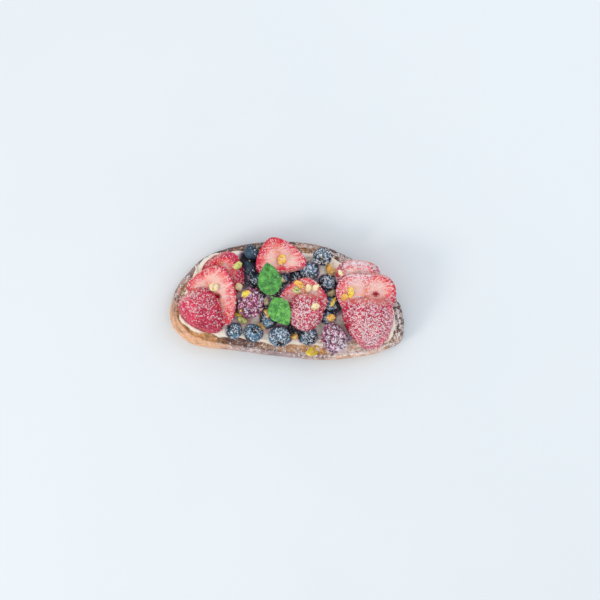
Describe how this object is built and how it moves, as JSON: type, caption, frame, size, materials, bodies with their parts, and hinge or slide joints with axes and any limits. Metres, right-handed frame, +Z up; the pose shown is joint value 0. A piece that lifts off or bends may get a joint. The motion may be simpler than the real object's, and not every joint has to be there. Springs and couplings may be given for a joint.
{
  "type": "berry toast",
  "caption": "Open slice of toasted bread spread with whipped cream, topped with fanned strawberry slices, blueberries, bramble berries, a mint sprig and chopped nuts.",
  "frame": {"origin": "on the surface that the toast rests on, under the middle of its bounding box", "axes": "+X along the slice, +Y across it, +Z up out of the topping"},
  "size_m": [0.1541, 0.0801, 0.0382],
  "materials": {
    "toasted_bread": null,
    "whipped_cream": null,
    "strawberry": null,
    "blueberry": null,
    "bramble": null,
    "mint": null
  },
  "bodies": {
    "root": {"blueberry_01": "blueberry", "blueberry_02": "blueberry", "blueberry_03": "blueberry", "blueberry_04": "blueberry", "blueberry_05": "blueberry", "blueberry_06": "blueberry", "blueberry_07": "blueberry", "blueberry_08": "blueberry", "blueberry_09": "blueberry", "blueberry_10": "blueberry", "blueberry_11": "blueberry", "blueberry_12": "blueberry", "blueberry_13": "blueberry", "blueberry_14": "blueberry", "blueberry_15": "blueberry", "bramble_left": "bramble", "bramble_right": "bramble", "bread_slice": "toasted_bread", "cream": "whipped_cream", "mint_leaf_lower": "mint", "mint_leaf_upper": "mint", "mint_stem": "mint", "strawberry_centre_front": "strawberry", "strawberry_centre_rear": "strawberry", "strawberry_left_front": "strawberry", "strawberry_left_middle": "strawberry", "strawberry_left_rear": "strawberry", "strawberry_right_front": "strawberry", "strawberry_right_middle": "strawberry", "strawberry_right_rear": "strawberry", "strawberry_top": "strawberry"}
  },
  "joints": []
}
